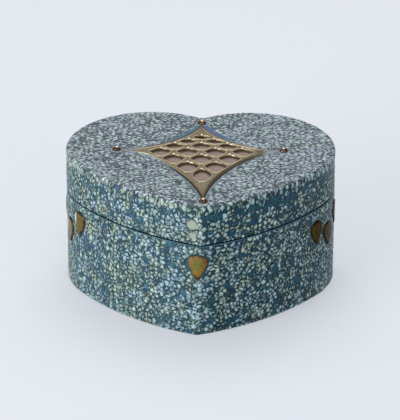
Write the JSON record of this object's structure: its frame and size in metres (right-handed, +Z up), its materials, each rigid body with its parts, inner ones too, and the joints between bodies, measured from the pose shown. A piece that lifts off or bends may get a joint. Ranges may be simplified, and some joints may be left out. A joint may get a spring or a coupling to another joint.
{
  "type": "ceramic heart box",
  "caption": "Hollow heart-shaped stoneware box with a lift-off lid, a sunk gilt lattice window pinned by domed studs, and drop-shaped lustre petals fixed on its wall.",
  "frame": {"origin": "On the underside, under the middle of the box.", "axes": "+Z is up out of the lid. +X runs across the two lobes. The heart's point faces -Y and the notch between the lobes faces +Y."},
  "size_m": [0.1616, 0.1342, 0.0861],
  "materials": {
    "crawled_glaze": "stoneware under a glossy teal-blue glaze broken by small pale celadon islands",
    "gilt_brass": "dull olive-gold cast brass with brighter worn rims",
    "bronzed_copper": "dark bronzed copper, polished on the dome",
    "gold_lustre": "clay petals under an olive-gold fired lustre, lighter on the bevelled edge"
  },
  "bodies": {
    "root": {"box_body": "crawled_glaze", "lid": "crawled_glaze", "lattice_grille": "gilt_brass", "stud_front": "bronzed_copper", "stud_back": "bronzed_copper", "stud_left": "bronzed_copper", "stud_right": "bronzed_copper", "petal_front": "gold_lustre", "petal_right_fore": "gold_lustre", "petal_right_low": "gold_lustre", "petal_right_aft": "gold_lustre", "petal_left_fore": "gold_lustre", "petal_left_low": "gold_lustre", "petal_left_aft": "gold_lustre"}
  },
  "joints": []
}
